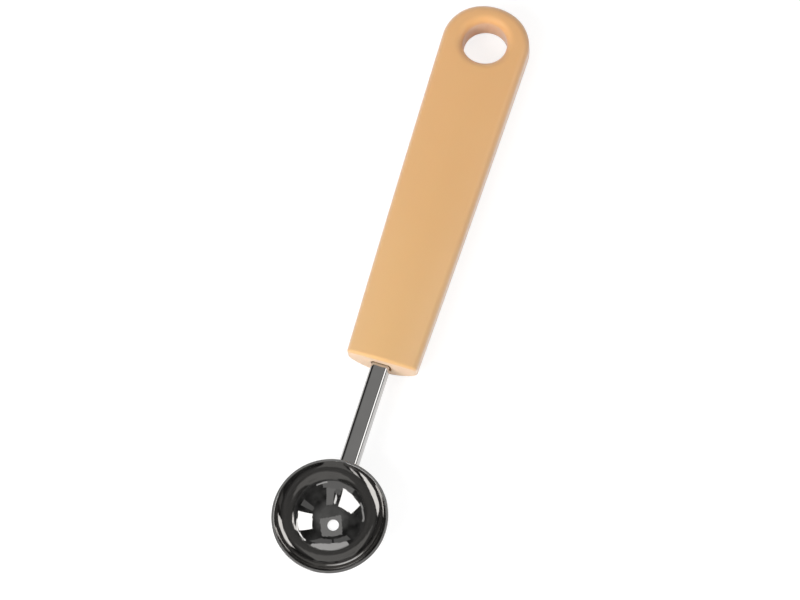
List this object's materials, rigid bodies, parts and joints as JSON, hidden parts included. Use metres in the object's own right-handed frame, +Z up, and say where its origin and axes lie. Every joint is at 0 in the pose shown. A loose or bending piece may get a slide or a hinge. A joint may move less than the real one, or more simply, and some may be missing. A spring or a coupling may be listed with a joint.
{
  "type": "melon baller",
  "caption": "Melon baller: a shallow round pressed-steel bowl on a straight square stem, with a long tapering oval plastic handle and a hanging hole.",
  "frame": {"origin": "on the table that the tool lies on, under the middle of its bounding box", "axes": "+Z up off the table, +Y along the tool from the bowl to the hanging end of the handle, +X to the right; the tool is symmetric about X = 0"},
  "size_m": [0.0302, 0.1632, 0.0123],
  "materials": {
    "stainless_steel": "mirror polished",
    "handle_plastic": "satin"
  },
  "bodies": {
    "root": {"bowl": "stainless_steel", "stem": "stainless_steel", "handle": "handle_plastic"}
  },
  "joints": []
}
